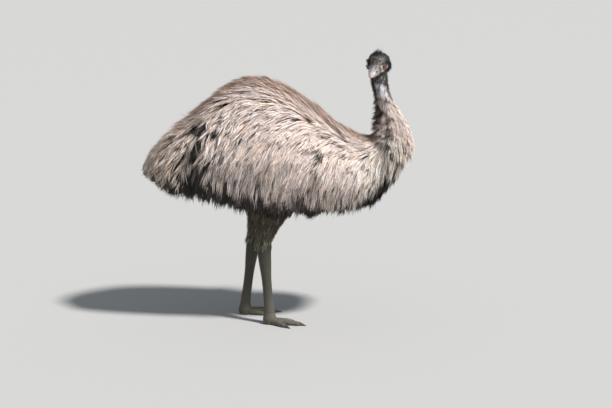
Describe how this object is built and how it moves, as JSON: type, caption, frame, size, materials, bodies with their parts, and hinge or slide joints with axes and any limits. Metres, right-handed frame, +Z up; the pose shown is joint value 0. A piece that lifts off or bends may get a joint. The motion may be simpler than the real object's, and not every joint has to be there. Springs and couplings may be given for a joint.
{
  "type": "emu",
  "caption": "Life-size standing emu with shaggy hanging feathers, long neck and head turned to its right, as a still museum model.",
  "frame": {"origin": "on the floor, under the middle of the bird's box", "axes": "+X ahead from the tail to the breast, +Y to the bird's left, +Z up"},
  "size_m": [1.2172, 0.5124, 1.2062],
  "materials": {
    "coat": "shaggy grey-brown feathers, bleached by the sun",
    "dark_coat": "dark grey-brown feathers",
    "pale_coat": "creamy, sun-bleached feathers",
    "neck_skin": "bluish grey bare skin under sparse dark feathers",
    "leg": "scaly grey-brown skin",
    "bill": "horn, satin",
    "claw": "dark horn, satin",
    "eye": "wet, orange-brown iris with a dark pupil"
  },
  "bodies": {
    "root": {"tail": "dark_coat", "torso": "coat", "breast": "pale_coat", "neck_lower": "pale_coat", "neck_upper": "neck_skin", "head": "neck_skin", "bill_upper": "bill", "bill_lower": "bill", "eye_left": "eye", "wing_left": "dark_coat", "thigh_left": "coat", "tarsus_left": "leg", "foot_left": "leg", "claw_left_inner": "claw", "claw_left_middle": "claw", "claw_left_outer": "claw", "eye_right": "eye", "wing_right": "dark_coat", "thigh_right": "coat", "tarsus_right": "leg", "foot_right": "leg", "claw_right_inner": "claw", "claw_right_middle": "claw", "claw_right_outer": "claw"}
  },
  "joints": []
}
